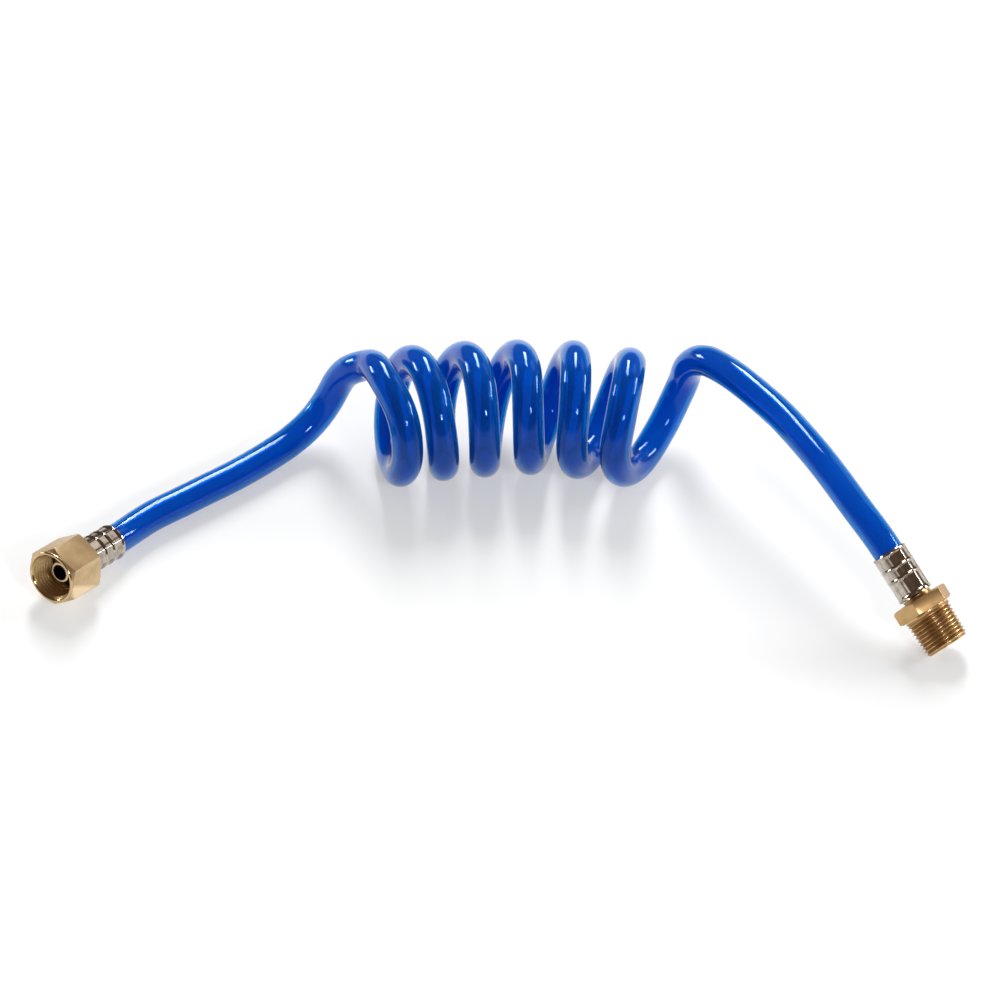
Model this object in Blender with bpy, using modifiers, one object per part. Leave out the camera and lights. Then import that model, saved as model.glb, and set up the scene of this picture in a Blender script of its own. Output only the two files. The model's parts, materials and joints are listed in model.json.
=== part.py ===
# Coiled water connector hose: a preformed recoil hose with a crimped swivel nut
# at its left end and a crimped male pipe fitting at its right end.
# Metres, +Z up. The hose lies on the plane z = 0, on its coil, the swivel nut
# and the rim of the male thread. X runs from the nut to the male fitting.
import math

import bmesh
import bpy
from mathutils import Vector

MM = 0.001

# Hose
HOSE_OD = 14.0 * MM
HOSE_SEGMENT = 1.0 * HOSE_OD      # distance between the points of a tail's tube
COIL_RADIUS = 24.4 * MM           # from the coil's axis to the middle of the hose
COIL_LEFT = -57.4 * MM
COIL_RIGHT = 65.4 * MM
COIL_AXIS = [                     # the coil lies in a shallow bow: x and y
    (-42.0, 91.8), (-24.6, 96.6), (-5.5, 99.2), (13.1, 100.6), (33.1, 97.9), (54.8, 92.8),
]
FLOOR_GAP = 0.1 * MM

# Gaps between pieces that touch
SEAT_GAP = 0.3 * MM               # a piece on its seat
NUT_GAP = 0.5 * MM                # between the swivel nut and its ferrule
NECK_CLEARANCE = 0.4 * MM         # the nut's hole around the neck it turns on

# Barbed end that both fittings share. Heights are from the ferrule's open end.
BORE_RADIUS = 3.4 * MM
BARB_START = 1.5 * MM
BARB_COUNT = 4
BARB_PITCH = 4.4 * MM
BARB_RADIUS = 5.0 * MM
BARB_ROOT_RADIUS = 4.35 * MM
HOSE_INSERT = 20.2 * MM           # how far the hose goes into the ferrule
STOP_RADIUS = 6.0 * MM            # ring that the hose's end butts against
STOP_THICKNESS = 0.8 * MM
GROOVE_RADIUS = 4.7 * MM          # groove that holds the ferrule's lip

# Ferrules
FERRULE_LENGTH = 22.5 * MM
FERRULE_RADIUS = 8.2 * MM
FERRULE_WALL = 0.85 * MM
FERRULE_LIP = 0.9 * MM            # thickness of the end wall that turns inwards
FERRULE_ROUND = 0.4 * MM
CRIMP_FLATS = 8
CRIMP_DEPTH = 0.75 * MM           # at the middle of a flat
CRIMP_RAMP = 0.8 * MM             # from a ridge down to the flats
CRIMP_BANDS = [(1.0, 7.4), (7.4, 12.6), (12.6, 21.2)]   # from, to, in mm
FERRULE_SIDES = 48

# Swivel nut for a 1/2 inch straight pipe thread
NUT_ACROSS_FLATS = 24.6 * MM
NUT_LENGTH = 20.0 * MM
NUT_BACK_WALL = 3.2 * MM
NUT_THREAD_RADIUS = 9.7 * MM      # the thread's crests, cut as a plain bore
NUT_COUNTERSINK = 1.0 * MM
NUT_FACE_RADIUS = 11.7 * MM       # outer edge of the ring at the mouth
NUT_FRONT_CHAMFER = 2.1 * MM
NUT_REAR_CHAMFER = 0.9 * MM
NUT_REAR_RADIUS = 12.8 * MM
NUT_ROLL = math.radians(-23.7)    # from a flat facing down

# Stem that the nut turns on
NECK_RADIUS = 6.3 * MM
FLANGE_RADIUS = 8.6 * MM
FLANGE_THICKNESS = 2.5 * MM
NOSE_RECESS = 6.3 * MM            # nose tip behind the nut's mouth
NOSE_RADIUS = 4.8 * MM
NOSE_TIP_LENGTH = 1.7 * MM
NOSE_BASE_RADIUS = 6.6 * MM
NOSE_ANGLE = math.radians(30.0)   # half of the 60 degree seat
NOSE_ROUND = 0.35 * MM

# Male fitting, 15/16 inch hexagon and 1/2 inch taper pipe thread
COLLAR_RADIUS = 6.8 * MM
COLLAR_LENGTH = 1.5 * MM
MALE_ACROSS_FLATS = 23.8 * MM
MALE_HEX_THICKNESS = 6.8 * MM
MALE_HEX_CHAMFER = 0.8 * MM
MALE_HEX_FACE_RADIUS = 11.7 * MM
MALE_ROLL = math.radians(16.0)
THREAD_LENGTH = 17.8 * MM
THREAD_TIP_RADIUS = 10.36 * MM
THREAD_TAPER = 1.0 / 32.0         # radius gained for each metre of length
TIP_CHAMFER = 1.4 * MM            # down to the thread's root
MALE_BORE_RADIUS = 6.3 * MM
MALE_BORE_DEPTH = 14.0 * MM
MALE_BORE_CHAMFER = 0.5 * MM

# How the two ends lie: direction in plan, slope, and the place of one point
LEFT_YAW = math.radians(231.2)
LEFT_PITCH = math.radians(11.0)
NUT_BACK_PLACE = (-185.7 * MM, 16.7 * MM)
RIGHT_YAW = math.radians(-46.35)
RIGHT_PITCH = math.radians(-38.75)
TIP_PLACE = (198.3 * MM, -31.4 * MM)

# The tails' routes in millimetres, chosen by hand from ferrule to coil
LEFT_ROUTE = [
    (-154.9, 53.0, 7.8), (-143.6, 60.9, 7.5), (-132.5, 69.7, 7.4), (-121.4, 77.6, 7.3),
    (-110.3, 86.8, 7.2), (-101.5, 94.7, 7.3), (-93.5, 101.7, 8.4), (-86.8, 107.0, 11.1),
    (-81.9, 110.7, 14.7), (-77.9, 113.6, 19.3), (-74.4, 115.3, 25.4), (-71.7, 115.8, 32.0),
    (-68.1, 114.7, 38.6), (-64.4, 112.2, 43.3),
]
RIGHT_ROUTE = [
    (73.7, 108.6, 14.3), (78.8, 114.3, 22.5), (83.5, 116.2, 33.0), (85.3, 113.8, 42.0),
    (89.2, 109.4, 50.5), (94.8, 103.0, 55.0), (101.0, 95.0, 57.5), (107.2, 86.5, 59.1),
    (116.1, 74.6, 59.7), (125.0, 62.6, 59.9), (133.9, 48.1, 59.6), (142.7, 34.2, 58.0),
    (151.6, 20.2, 54.4), (160.5, 7.7, 48.9),
]
STRAIGHT_OUT = 9.0 * MM           # the hose leaves each ferrule straight

CUT_SPARE = 1.0 * MM              # how far a cutter reaches past what it cuts
STEPS_FINE = 40
STEPS_COARSE = 32
WELD = 0.00001


def clear_scene():
    for ob in list(bpy.data.objects):
        bpy.data.objects.remove(ob, do_unlink=True)


def new_collection(name):
    group = bpy.data.collections.new(name)
    bpy.context.scene.collection.children.link(group)
    return group


def material(name, colour, roughness, metallic):
    mat = bpy.data.materials.new(name)
    mat.use_nodes = True
    shader = mat.node_tree.nodes["Principled BSDF"]
    shader.inputs["Base Color"].default_value = (*colour, 1.0)
    shader.inputs["Roughness"].default_value = roughness
    shader.inputs["Metallic"].default_value = metallic
    return mat


def corner_radius(across_flats):
    return across_flats / 2 / math.cos(math.pi / 6)


def direction(yaw, pitch):
    return Vector((
        math.cos(pitch) * math.cos(yaw), math.cos(pitch) * math.sin(yaw), math.sin(pitch),
    ))


def finish_mesh(ob, sharp_degrees=32):
    ob.data.shade_smooth()
    ob.data.set_sharp_from_angle(angle=math.radians(sharp_degrees))


def turned(name, profile, steps, group, hollow=True):
    # A profile of (radius, height) that runs down its outer side. A hollow one closes
    # up its inner side, and any other reaches the axis at both ends.
    mesh = bpy.data.meshes.new(name)
    points = list(profile)
    if not hollow:
        points = [(0.0, profile[0][1])] + points + [(0.0, profile[-1][1])]
    edges = [(i, i + 1) for i in range(len(points) - 1)]
    if hollow:
        edges.append((len(points) - 1, 0))
    mesh.from_pydata([(r, 0.0, z) for r, z in points], edges, [])
    ob = bpy.data.objects.new(name, mesh)
    group.objects.link(ob)
    screw = ob.modifiers.new("turn", "SCREW")
    screw.axis = "Z"
    screw.angle = 2 * math.pi
    screw.steps = steps
    screw.render_steps = steps
    screw.use_merge_vertices = True
    screw.merge_threshold = WELD
    screw.use_smooth_shade = True
    return ob


def as_cutter(ob, parent):
    ob.hide_render = True
    ob.display_type = "WIRE"
    ob.parent = parent
    return ob


def boolean(ob, other, operation):
    mod = ob.modifiers.new(operation.lower(), "BOOLEAN")
    mod.operation = operation
    mod.solver = "EXACT"
    mod.object = other


def hexagon(name, across_flats, low, high, roll, group):
    # A flat faces the object's +X when roll is 0
    mesh = bpy.data.meshes.new(name)
    bm = bmesh.new()
    radius = corner_radius(across_flats)
    bmesh.ops.create_cone(
        bm, cap_ends=True, segments=6, radius1=radius, radius2=radius, depth=high - low,
    )
    bmesh.ops.translate(bm, verts=bm.verts, vec=(0, 0, (low + high) / 2))
    bm.to_mesh(mesh)
    bm.free()
    ob = bpy.data.objects.new(name, mesh)
    ob.rotation_euler = (0, 0, roll)
    group.objects.link(ob)
    return ob


def barb_profile():
    # From the hose's stop down to the tip of the barbs, then the bore's lower edge
    stop_top = HOSE_INSERT + SEAT_GAP + STOP_THICKNESS
    points = [
        (GROOVE_RADIUS, stop_top),
        (STOP_RADIUS, stop_top),
        (STOP_RADIUS, stop_top - STOP_THICKNESS),
        (BARB_ROOT_RADIUS, stop_top - STOP_THICKNESS),
    ]
    for i in reversed(range(BARB_COUNT)):
        low = BARB_START + i * BARB_PITCH
        high = low + BARB_PITCH * 0.8
        points += [(BARB_ROOT_RADIUS, high), (BARB_RADIUS, high)]
        points += [(BARB_RADIUS, high - BARB_PITCH * 0.12), (BARB_ROOT_RADIUS, low)]
    return points


def stem_profile():
    mouth = FERRULE_LENGTH + NUT_GAP + NUT_LENGTH
    tip = mouth - NOSE_RECESS
    wall_inside = FERRULE_LENGTH + NUT_GAP + NUT_BACK_WALL
    flange_low = wall_inside + SEAT_GAP
    flange_high = flange_low + FLANGE_THICKNESS
    cone_top = tip - NOSE_TIP_LENGTH
    cone_low = cone_top - (NOSE_BASE_RADIUS - NOSE_RADIUS) / math.tan(NOSE_ANGLE)
    neck_low = FERRULE_LENGTH + SEAT_GAP
    points = [
        (BORE_RADIUS, tip - NOSE_ROUND), (BORE_RADIUS + NOSE_ROUND, tip),
        (NOSE_RADIUS - NOSE_ROUND, tip), (NOSE_RADIUS, tip - NOSE_ROUND),
        (NOSE_RADIUS, cone_top), (NOSE_BASE_RADIUS, cone_low), (NOSE_BASE_RADIUS, flange_high),
        (FLANGE_RADIUS, flange_high), (FLANGE_RADIUS, flange_low),
        (NECK_RADIUS, flange_low), (NECK_RADIUS, neck_low), (GROOVE_RADIUS, neck_low),
    ]
    return points + barb_profile() + [(BORE_RADIUS, BARB_START)]


def male_core_profile():
    hex_low = FERRULE_LENGTH + SEAT_GAP + COLLAR_LENGTH
    thread_low = hex_low + MALE_HEX_THICKNESS
    tip = thread_low + THREAD_LENGTH
    thread_root = THREAD_TIP_RADIUS + THREAD_LENGTH * THREAD_TAPER
    bore_low = tip - MALE_BORE_DEPTH
    cone_length = MALE_BORE_RADIUS - BORE_RADIUS
    core = MALE_HEX_FACE_RADIUS - MALE_HEX_CHAMFER
    points = [
        (MALE_BORE_RADIUS, tip - MALE_BORE_CHAMFER), (MALE_BORE_RADIUS + MALE_BORE_CHAMFER, tip),
        (THREAD_TIP_RADIUS - TIP_CHAMFER, tip), (THREAD_TIP_RADIUS, tip - TIP_CHAMFER),
        (thread_root, thread_low), (core, thread_low - MALE_HEX_CHAMFER),
        (core, hex_low + MALE_HEX_CHAMFER), (COLLAR_RADIUS, hex_low + MALE_HEX_CHAMFER),
        (COLLAR_RADIUS, FERRULE_LENGTH + SEAT_GAP), (GROOVE_RADIUS, FERRULE_LENGTH + SEAT_GAP),
    ]
    bore = [(BORE_RADIUS, BARB_START), (BORE_RADIUS, bore_low - cone_length)]
    return points + barb_profile() + bore + [(MALE_BORE_RADIUS, bore_low)]


def crimp_weight(z):
    # 0 on a ridge, 1 on the flats
    weight = 0.0
    for low, high in CRIMP_BANDS:
        inside = min(z - low * MM, high * MM - z) / CRIMP_RAMP
        weight = max(weight, min(1.0, inside))
    return max(0.0, weight)


def crimped_radius(angle, z, radius):
    # Round on the ridges, flat between the crimping jaws' edges elsewhere
    sector = 2 * math.pi / CRIMP_FLATS
    off_middle = (angle % sector) - sector / 2
    flat = (radius - CRIMP_DEPTH) / math.cos(off_middle)
    weight = crimp_weight(z)
    return (1 - weight) * radius + weight * min(radius, flat)


def ferrule_heights():
    heights = {FERRULE_ROUND, FERRULE_LENGTH - FERRULE_ROUND}
    for low, high in CRIMP_BANDS:
        heights |= {low * MM, low * MM + CRIMP_RAMP, high * MM - CRIMP_RAMP, high * MM}
    return sorted(heights)


def make_ferrule(name, parent, mat, group):
    rings = []
    edge = FERRULE_RADIUS - FERRULE_ROUND
    lip_radius = GROOVE_RADIUS + SEAT_GAP
    inner = FERRULE_RADIUS - FERRULE_WALL
    lip_inside = FERRULE_LENGTH - FERRULE_LIP
    rings.append((0.0, edge))
    rings += [(z, FERRULE_RADIUS) for z in ferrule_heights()]
    rings += [(FERRULE_LENGTH, edge), (FERRULE_LENGTH, lip_radius), (lip_inside, lip_radius)]
    inside = [z for z in ferrule_heights() if FERRULE_ROUND < z < lip_inside - CRIMP_RAMP / 2]
    rings.append((lip_inside, inner - CRIMP_DEPTH))
    rings += [(z, inner) for z in reversed(inside)]
    rings.append((0.0, inner))
    mesh = bpy.data.meshes.new(name)
    bm = bmesh.new()
    loops = []
    for z, radius in rings:
        loop = []
        for i in range(FERRULE_SIDES):
            angle = 2 * math.pi * i / FERRULE_SIDES
            r = crimped_radius(angle, z, radius) if radius > STOP_RADIUS else radius
            loop.append(bm.verts.new((r * math.cos(angle), r * math.sin(angle), z)))
        loops.append(loop)
    for a, b in zip(loops, loops[1:] + loops[:1]):
        for i in range(FERRULE_SIDES):
            j = (i + 1) % FERRULE_SIDES
            bm.faces.new((a[i], a[j], b[j], b[i]))
    bmesh.ops.recalc_face_normals(bm, faces=bm.faces)
    bm.to_mesh(mesh)
    bm.free()
    ob = bpy.data.objects.new(name, mesh)
    group.objects.link(ob)
    ob.parent = parent
    ob.data.materials.append(mat)
    finish_mesh(ob, 20)
    return ob


def make_swivel_stem(parent, mat, group):
    ob = turned("swivel_stem", stem_profile(), STEPS_COARSE, group)
    ob.parent = parent
    ob.data.materials.append(mat)
    return ob


def make_swivel_nut(parent, mat, group, cutters):
    back = FERRULE_LENGTH + NUT_GAP
    spare = CUT_SPARE
    nut = hexagon("swivel_nut", NUT_ACROSS_FLATS, -spare, NUT_LENGTH + spare, NUT_ROLL, group)
    nut.parent = parent
    nut.location = (0, 0, back)
    corner = corner_radius(NUT_ACROSS_FLATS) + 0.2 * MM
    slope = (corner - NUT_FACE_RADIUS) / (corner_radius(NUT_ACROSS_FLATS) - NUT_FACE_RADIUS)
    blank = [
        (NUT_FACE_RADIUS, NUT_LENGTH),
        (corner, NUT_LENGTH - NUT_FRONT_CHAMFER * slope),
        (corner, NUT_REAR_CHAMFER),
        (NUT_REAR_RADIUS, 0.0),
    ]
    shape = as_cutter(turned("nut_chamfers", blank, STEPS_FINE, cutters, False), parent)
    shape.location = nut.location
    mouth = NUT_LENGTH + spare
    hole = NECK_RADIUS + NECK_CLEARANCE
    socket = [
        (NUT_THREAD_RADIUS + NUT_COUNTERSINK + spare, mouth),
        (NUT_THREAD_RADIUS, NUT_LENGTH - NUT_COUNTERSINK),
        (NUT_THREAD_RADIUS, NUT_BACK_WALL),
        (hole, NUT_BACK_WALL),
        (hole, -spare),
    ]
    bore = as_cutter(turned("nut_socket", socket, STEPS_FINE, cutters, False), parent)
    bore.location = nut.location
    boolean(nut, shape, "INTERSECT")
    boolean(nut, bore, "DIFFERENCE")
    nut.data.materials.append(mat)
    return nut


def make_male_fitting(parent, mat, group, cutters):
    low = FERRULE_LENGTH + SEAT_GAP + COLLAR_LENGTH
    high = low + MALE_HEX_THICKNESS
    fitting = turned("male_fitting", male_core_profile(), STEPS_FINE, group)
    fitting.parent = parent
    spare = CUT_SPARE
    blank_hex = hexagon("male_hex", MALE_ACROSS_FLATS, low - spare, high + spare, MALE_ROLL, cutters)
    as_cutter(blank_hex, parent)
    corner = corner_radius(MALE_ACROSS_FLATS) + 0.2 * MM
    ring = MALE_HEX_FACE_RADIUS - 2 * MALE_HEX_CHAMFER
    chamfers = [
        (MALE_HEX_FACE_RADIUS, high), (corner, high - MALE_HEX_CHAMFER),
        (corner, low + MALE_HEX_CHAMFER), (MALE_HEX_FACE_RADIUS, low),
        (ring, low), (ring, high),
    ]
    band = as_cutter(turned("male_hex_chamfers", chamfers, STEPS_FINE, cutters), parent)
    boolean(blank_hex, band, "INTERSECT")
    boolean(fitting, blank_hex, "UNION")
    fitting.data.materials.append(mat)
    return fitting


def smooth_path(points, spacing):
    # A curve through all the points, read every so often along its length
    dense = []
    padded = [2 * points[0] - points[1]] + points + [2 * points[-1] - points[-2]]
    for a, b, c, d in zip(padded, padded[1:], padded[2:], padded[3:]):
        for k in range(20):
            t = k / 20
            dense.append(0.5 * (
                2 * b + (c - a) * t + (2 * a - 5 * b + 4 * c - d) * t * t
                + (3 * b - a - 3 * c + d) * t * t * t
            ))
    dense.append(points[-1])
    lengths = [0.0]
    for a, b in zip(dense, dense[1:]):
        lengths.append(lengths[-1] + (b - a).length)
    pieces = max(2, round(lengths[-1] / spacing))
    path = []
    k = 0
    for i in range(pieces + 1):
        want = lengths[-1] * i / pieces
        while k < len(lengths) - 2 and lengths[k + 1] < want:
            k += 1
        share = (want - lengths[k]) / max(lengths[k + 1] - lengths[k], 1e-9)
        path.append(dense[k].lerp(dense[k + 1], min(1.0, share)))
    return path


def tube_curve(name, path, radius, resolution, group):
    curve = bpy.data.curves.new(name, "CURVE")
    curve.dimensions = "3D"
    curve.bevel_depth = radius
    curve.bevel_resolution = resolution
    curve.use_fill_caps = True
    curve.render_resolution_u = 0
    spline = curve.splines.new("POLY")
    spline.points.add(len(path) - 1)
    for point, place in zip(spline.points, path):
        point.co = (*place, 1.0)
    ob = bpy.data.objects.new(name, curve)
    group.objects.link(ob)
    return ob


def to_mesh(ob, group):
    bpy.context.view_layer.update()
    name = ob.name
    mesh = bpy.data.meshes.new_from_object(ob.evaluated_get(bpy.context.evaluated_depsgraph_get()))
    place = ob.matrix_world.copy()
    bpy.data.objects.remove(ob, do_unlink=True)
    bm = bmesh.new()
    bm.from_mesh(mesh)
    bmesh.ops.remove_doubles(bm, verts=bm.verts, dist=WELD)
    bm.to_mesh(mesh)
    bm.free()
    made = bpy.data.objects.new(name, mesh)
    made.matrix_world = place
    group.objects.link(made)
    return made


def hose_end_cutters(side, parent, cutters):
    # The crimp squeezes the hose's end, and the barbs fill it
    spare = 2 * CUT_SPARE
    squeezed = FERRULE_RADIUS - FERRULE_WALL - CRIMP_DEPTH - SEAT_GAP
    low = CRIMP_BANDS[0][0] * MM
    outside = HOSE_OD
    top = HOSE_INSERT + spare
    sleeve = [(outside, top), (outside, low), (squeezed, low), (squeezed, top)]
    ring = as_cutter(turned(side + "_crimp_space", sleeve, STEPS_COARSE, cutters), parent)
    barbs = [(BARB_RADIUS + SEAT_GAP, top), (BARB_RADIUS + SEAT_GAP, BARB_START - SEAT_GAP)]
    core = as_cutter(turned(side + "_barb_space", barbs, STEPS_COARSE, cutters, False), parent)
    return ring, core


def make_tail(name, end, out, route, mat, group, cutters):
    # The hose's end inside the ferrule, the ferrule's mouth, and a short straight
    mouth = end.location.copy()
    path = [Vector(p) * MM for p in route]
    path = [mouth + out * HOSE_INSERT] + smooth_path(
        [mouth, mouth - out * STRAIGHT_OUT] + path, HOSE_SEGMENT,
    )
    ob = to_mesh(tube_curve(name, path, HOSE_OD / 2, 4, group), group)
    for cutter in hose_end_cutters(name, end, cutters):
        boolean(ob, cutter, "DIFFERENCE")
    ob.data.materials.append(mat)
    return ob


def make_coil(mat, group):
    # Stands for the coil's turns: their outer shape, without the gaps
    height = COIL_RADIUS + HOSE_OD / 2 + FLOOR_GAP
    middle = [Vector((x * MM, y * MM, height)) for x, y in COIL_AXIS]
    first, last = middle[0].copy(), middle[-1].copy()
    first.x, last.x = COIL_LEFT, COIL_RIGHT
    path = smooth_path([first] + middle + [last], HOSE_SEGMENT)
    ob = tube_curve("hose_coil", path, COIL_RADIUS + HOSE_OD / 2, 6, group)
    ob.data.materials.append(mat)
    return ob


def make_end(name, place, yaw, pitch, group):
    # An empty at the ferrule's open end. Its Z points out of the fitting, its X down.
    empty = bpy.data.objects.new(name, None)
    empty.location = place
    empty.rotation_euler = (0, math.pi / 2 - pitch, yaw)
    group.objects.link(empty)
    return empty


def left_place(out):
    # The nut rests on its lowest corner
    corner_off = abs(((math.pi / 6 - NUT_ROLL) + math.pi / 6) % (math.pi / 3) - math.pi / 6)
    corner_off = min(corner_off, math.pi / 3 - corner_off)
    reach = corner_radius(NUT_ACROSS_FLATS) * math.cos(corner_off) * math.cos(LEFT_PITCH)
    back = Vector((*NUT_BACK_PLACE, reach - NUT_REAR_CHAMFER * math.sin(LEFT_PITCH) + FLOOR_GAP))
    return back - out * (FERRULE_LENGTH + NUT_GAP)


def right_place(out):
    # The male thread stands on the lower edge of its chamfer
    reach = THREAD_TIP_RADIUS * math.cos(RIGHT_PITCH) + TIP_CHAMFER * math.sin(RIGHT_PITCH)
    tip = Vector((*TIP_PLACE, reach + FLOOR_GAP))
    length = FERRULE_LENGTH + SEAT_GAP + COLLAR_LENGTH + MALE_HEX_THICKNESS + THREAD_LENGTH
    return tip - out * length


def main():
    clear_scene()
    group = new_collection("water_connector_hose")
    cutters = new_collection("cutters")
    brass = (0.62, 0.43, 0.2)
    chrome = (0.72, 0.7, 0.68)
    blue = (0.0, 0.07, 0.48)

    left_out = direction(LEFT_YAW, LEFT_PITCH)
    right_out = direction(RIGHT_YAW, RIGHT_PITCH)
    left = make_end("left_end", left_place(left_out), LEFT_YAW, LEFT_PITCH, group)
    right = make_end("right_end", right_place(right_out), RIGHT_YAW, RIGHT_PITCH, group)

    make_ferrule("left_ferrule", left, material("left_ferrule", chrome, 0.18, 1.0), group)
    make_ferrule("right_ferrule", right, material("right_ferrule", chrome, 0.18, 1.0), group)
    make_swivel_stem(left, material("swivel_stem", brass, 0.3, 1.0), group)
    make_swivel_nut(left, material("swivel_nut", brass, 0.3, 1.0), group, cutters)
    make_male_fitting(right, material("male_fitting", brass, 0.3, 1.0), group, cutters)

    hose_left = material("hose_left_tail", blue, 0.12, 0.0)
    hose_right = material("hose_right_tail", blue, 0.12, 0.0)
    make_tail("hose_left_tail", left, left_out, LEFT_ROUTE, hose_left, group, cutters)
    make_coil(material("hose_coil", blue, 0.12, 0.0), group)
    right_way = list(reversed(RIGHT_ROUTE))
    make_tail("hose_right_tail", right, right_out, right_way, hose_right, group, cutters)
    bpy.context.view_layer.update()


main()
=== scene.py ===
import json
import math
import bmesh
import bpy
from mathutils import Euler, Matrix, Vector


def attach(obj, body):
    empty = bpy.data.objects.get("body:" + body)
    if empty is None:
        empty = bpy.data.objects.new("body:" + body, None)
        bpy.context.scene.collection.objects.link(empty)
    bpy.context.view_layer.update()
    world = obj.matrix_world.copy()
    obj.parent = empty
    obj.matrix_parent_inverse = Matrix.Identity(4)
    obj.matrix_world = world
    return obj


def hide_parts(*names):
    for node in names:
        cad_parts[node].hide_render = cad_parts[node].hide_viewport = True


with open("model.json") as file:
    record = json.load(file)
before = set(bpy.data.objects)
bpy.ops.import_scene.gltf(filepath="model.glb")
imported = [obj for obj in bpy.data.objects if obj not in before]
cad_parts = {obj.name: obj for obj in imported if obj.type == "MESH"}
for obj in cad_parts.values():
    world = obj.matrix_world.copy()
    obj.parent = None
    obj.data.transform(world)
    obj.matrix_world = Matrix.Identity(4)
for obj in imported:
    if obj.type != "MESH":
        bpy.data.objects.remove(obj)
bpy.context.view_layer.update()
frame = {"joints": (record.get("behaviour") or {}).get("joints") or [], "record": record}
mm = 0.001  # the plans below give lengths in mm
print("frame loaded")


# Where the two ends lie, read from the frame
endPlan = {
    "ferruleLength": 22.5, "nutGap": 0.5, "nutLength": 20.0, "nutBackWall": 3.2,
    "collarGap": 0.3, "collarLength": 1.5, "maleHexThickness": 6.8, "threadLength": 17.8,
    "tipRingMiddle": 7.88,
}


def endMatrix(axis, place):
    # Z points out of the fitting and X down
    yaw = math.atan2(axis.y, axis.x)
    pitch = math.asin(axis.z)
    turn = Euler((0, math.pi / 2 - pitch, yaw)).to_matrix().to_4x4()
    return Matrix.Translation(place) @ turn


def readEnds():
    p = endPlan
    joint = frame["joints"][0]
    leftAxis = Vector(joint["axis"]).normalized()
    back = (p["ferruleLength"] + p["nutGap"] + p["nutLength"] / 2) * mm
    left = endMatrix(leftAxis, Vector(joint["pos_m"]) - leftAxis * back)
    face = next(m for m in frame["record"]["mounts"] if m["name"] == "male_thread_face")
    rightAxis = Vector(face["axis"]).normalized()
    turn = endMatrix(rightAxis, Vector())
    tip = Vector(face["pos_m"]) + turn @ Vector((p["tipRingMiddle"] * mm, 0, 0))
    reach = p["ferruleLength"] + p["collarGap"] + p["collarLength"]
    reach = (reach + p["maleHexThickness"] + p["threadLength"]) * mm
    return left, endMatrix(rightAxis, tip - rightAxis * reach)


leftEnd, rightEnd = readEnds()


def linked(name, data):
    ob = bpy.data.objects.new(name, data)
    bpy.context.scene.collection.objects.link(ob)
    return ob


# Camera, looking along +Y and down on the hose as the photograph does. Lengths in metres.
camPlan = {
    "target": (0.00067, 0.0503, 0.020), "elevation": 42.0, "distance": 8.0, "width": 0.444,
    "sensor": 36.0, "clipEnd": 50.0,
}


def makeCamera():
    p = camPlan
    data = bpy.data.cameras.new("photoCamera")
    cam = linked("photoCamera", data)
    data.sensor_width = p["sensor"]
    data.lens = data.sensor_width * p["distance"] / p["width"]
    data.clip_end = p["clipEnd"]
    lift = math.radians(p["elevation"])
    away = Vector((0, -math.cos(lift), math.sin(lift)))
    cam.location = Vector(p["target"]) + away * p["distance"]
    cam.rotation_euler = (math.pi / 2 - lift, 0, 0)
    bpy.context.scene.camera = cam


makeCamera()


# Mesh helpers
def eased(share):
    # Runs from 0 to 1 with soft ends
    share = min(1.0, max(0.0, share))
    return share * share * (3 - 2 * share)


def addRing(bm, radius, z, sides):
    ring = []
    for i in range(sides):
        angle = 2 * math.pi * i / sides
        ring.append(bm.verts.new((radius * math.cos(angle), radius * math.sin(angle), z)))
    return ring


def joinRings(bm, low, high):
    # Faces look outwards where the second ring is further along +Z
    count = len(low)
    for i in range(count):
        j = (i + 1) % count
        bm.faces.new((low[i], low[j], high[j], high[i]))


def joinChain(bm, rings):
    for low, high in zip(rings, rings[1:]):
        joinRings(bm, low, high)


def capRing(bm, ring, facingUp):
    bm.faces.new(ring if facingUp else list(reversed(ring)))


def turnedShell(bm, profile, sides, closed=True):
    # The profile runs up the outside and, where closed, back down the inside
    rings = [addRing(bm, r * mm, z * mm, sides) for r, z in profile]
    joinChain(bm, rings)
    if closed:
        joinRings(bm, rings[-1], rings[0])
    else:
        capRing(bm, rings[0], False)
        capRing(bm, rings[-1], True)


# One pitch of a thread: the share of the pitch and the height on the ridge
threadPitch = 1.814
threadShape = (
    (0.04, 0.0), (0.2, 0.36), (0.42, 0.93), (0.46, 1.0),
    (0.54, 1.0), (0.58, 0.93), (0.8, 0.36), (0.96, 0.0),
)


def threadBand(bm, first, last, low, high, radiusAt):
    # A right-hand thread between two rings. radiusAt gives the radius for a height
    # on the ridge, 0 to 1, and a place along the axis.
    sides = len(first)
    rows = len(threadShape)
    turns = math.ceil((high - low) / threadPitch) + 2
    grid = []
    for j in range(sides):
        column = []
        angle = 2 * math.pi * j / sides
        for k in range(turns * rows):
            share, rise = threadShape[k % rows]
            z = low + threadPitch * (k // rows - 1 + share + j / sides)
            if z <= low:
                column.append(first[j])
            elif z >= high:
                column.append(last[j])
            else:
                r = radiusAt(rise, z) * mm
                column.append(bm.verts.new((r * math.cos(angle), r * math.sin(angle), z * mm)))
        grid.append(column)
    for j in range(sides):
        here = grid[j]
        there = grid[(j + 1) % sides]
        shift = rows if j == sides - 1 else 0
        for k in range(-shift, len(here) - 1):
            a = here[max(k, 0)]
            b = there[min(max(k + shift, 0), len(there) - 1)]
            c = there[min(max(k + 1 + shift, 0), len(there) - 1)]
            d = here[max(k + 1, 0)]
            corners = []
            for v in (a, b, c, d):
                if v not in corners:
                    corners.append(v)
            if len(corners) > 2 and bm.faces.get(corners) is None:
                bm.faces.new(corners)


def smoothMesh(mesh, sharpDegrees):
    mesh.shade_smooth()
    mesh.set_sharp_from_angle(angle=math.radians(sharpDegrees))


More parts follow.
